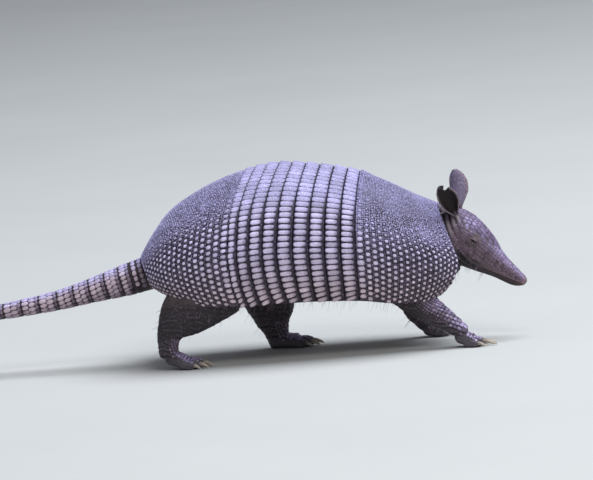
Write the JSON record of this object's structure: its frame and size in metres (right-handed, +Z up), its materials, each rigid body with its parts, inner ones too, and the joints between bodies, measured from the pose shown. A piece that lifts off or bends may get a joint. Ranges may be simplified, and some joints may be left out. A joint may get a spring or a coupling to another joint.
{
  "type": "nine-banded armadillo",
  "caption": "Life-size still model of a nine-banded armadillo in mid stride, with a banded shell, a ringed tail, upright ears and clawed feet.",
  "frame": {"origin": "on the floor, under the middle of the overall box", "axes": "+X from the tail to the nose, +Y to the animal's left, +Z up"},
  "size_m": [0.7254, 0.1594, 0.2037],
  "materials": {
    "shell": "horny scutes, satin, dark in the grooves between them",
    "skin": "wrinkled bare skin with small scales, matt",
    "head": "scaly bare skin, satin, pinker at the snout's tip",
    "ear": "finely pebbled bare skin, matt",
    "tail": "rings of scutes, satin",
    "claw": "horn, smooth",
    "eye": "dark, glossy"
  },
  "bodies": {
    "root": {"band_1": "shell", "band_2": "shell", "band_3": "shell", "band_4": "shell", "band_5": "shell", "band_6": "shell", "band_7": "shell", "band_8": "shell", "band_9": "shell", "ear_left": "ear", "ear_right": "ear", "eye_left": "eye", "eye_right": "eye", "foreclaw_left_1": "claw", "foreclaw_left_2": "claw", "foreclaw_left_3": "claw", "foreclaw_left_4": "claw", "foreclaw_right_1": "claw", "foreclaw_right_2": "claw", "foreclaw_right_3": "claw", "foreclaw_right_4": "claw", "forefoot_left": "skin", "forefoot_right": "skin", "foreleg_left": "skin", "foreleg_right": "skin", "head": "head", "head_shield": "shell", "hind_claw_left_1": "claw", "hind_claw_left_2": "claw", "hind_claw_left_3": "claw", "hind_claw_left_4": "claw", "hind_claw_left_5": "claw", "hind_claw_right_1": "claw", "hind_claw_right_2": "claw", "hind_claw_right_3": "claw", "hind_claw_right_4": "claw", "hind_claw_right_5": "claw", "hind_foot_left": "skin", "hind_foot_right": "skin", "hind_leg_left": "skin", "hind_leg_right": "skin", "neck": "skin", "pelvic_shield": "shell", "scapular_shield": "shell", "tail_base": "tail", "tail_middle": "tail", "tail_tip": "tail", "trunk": "skin"}
  },
  "joints": []
}
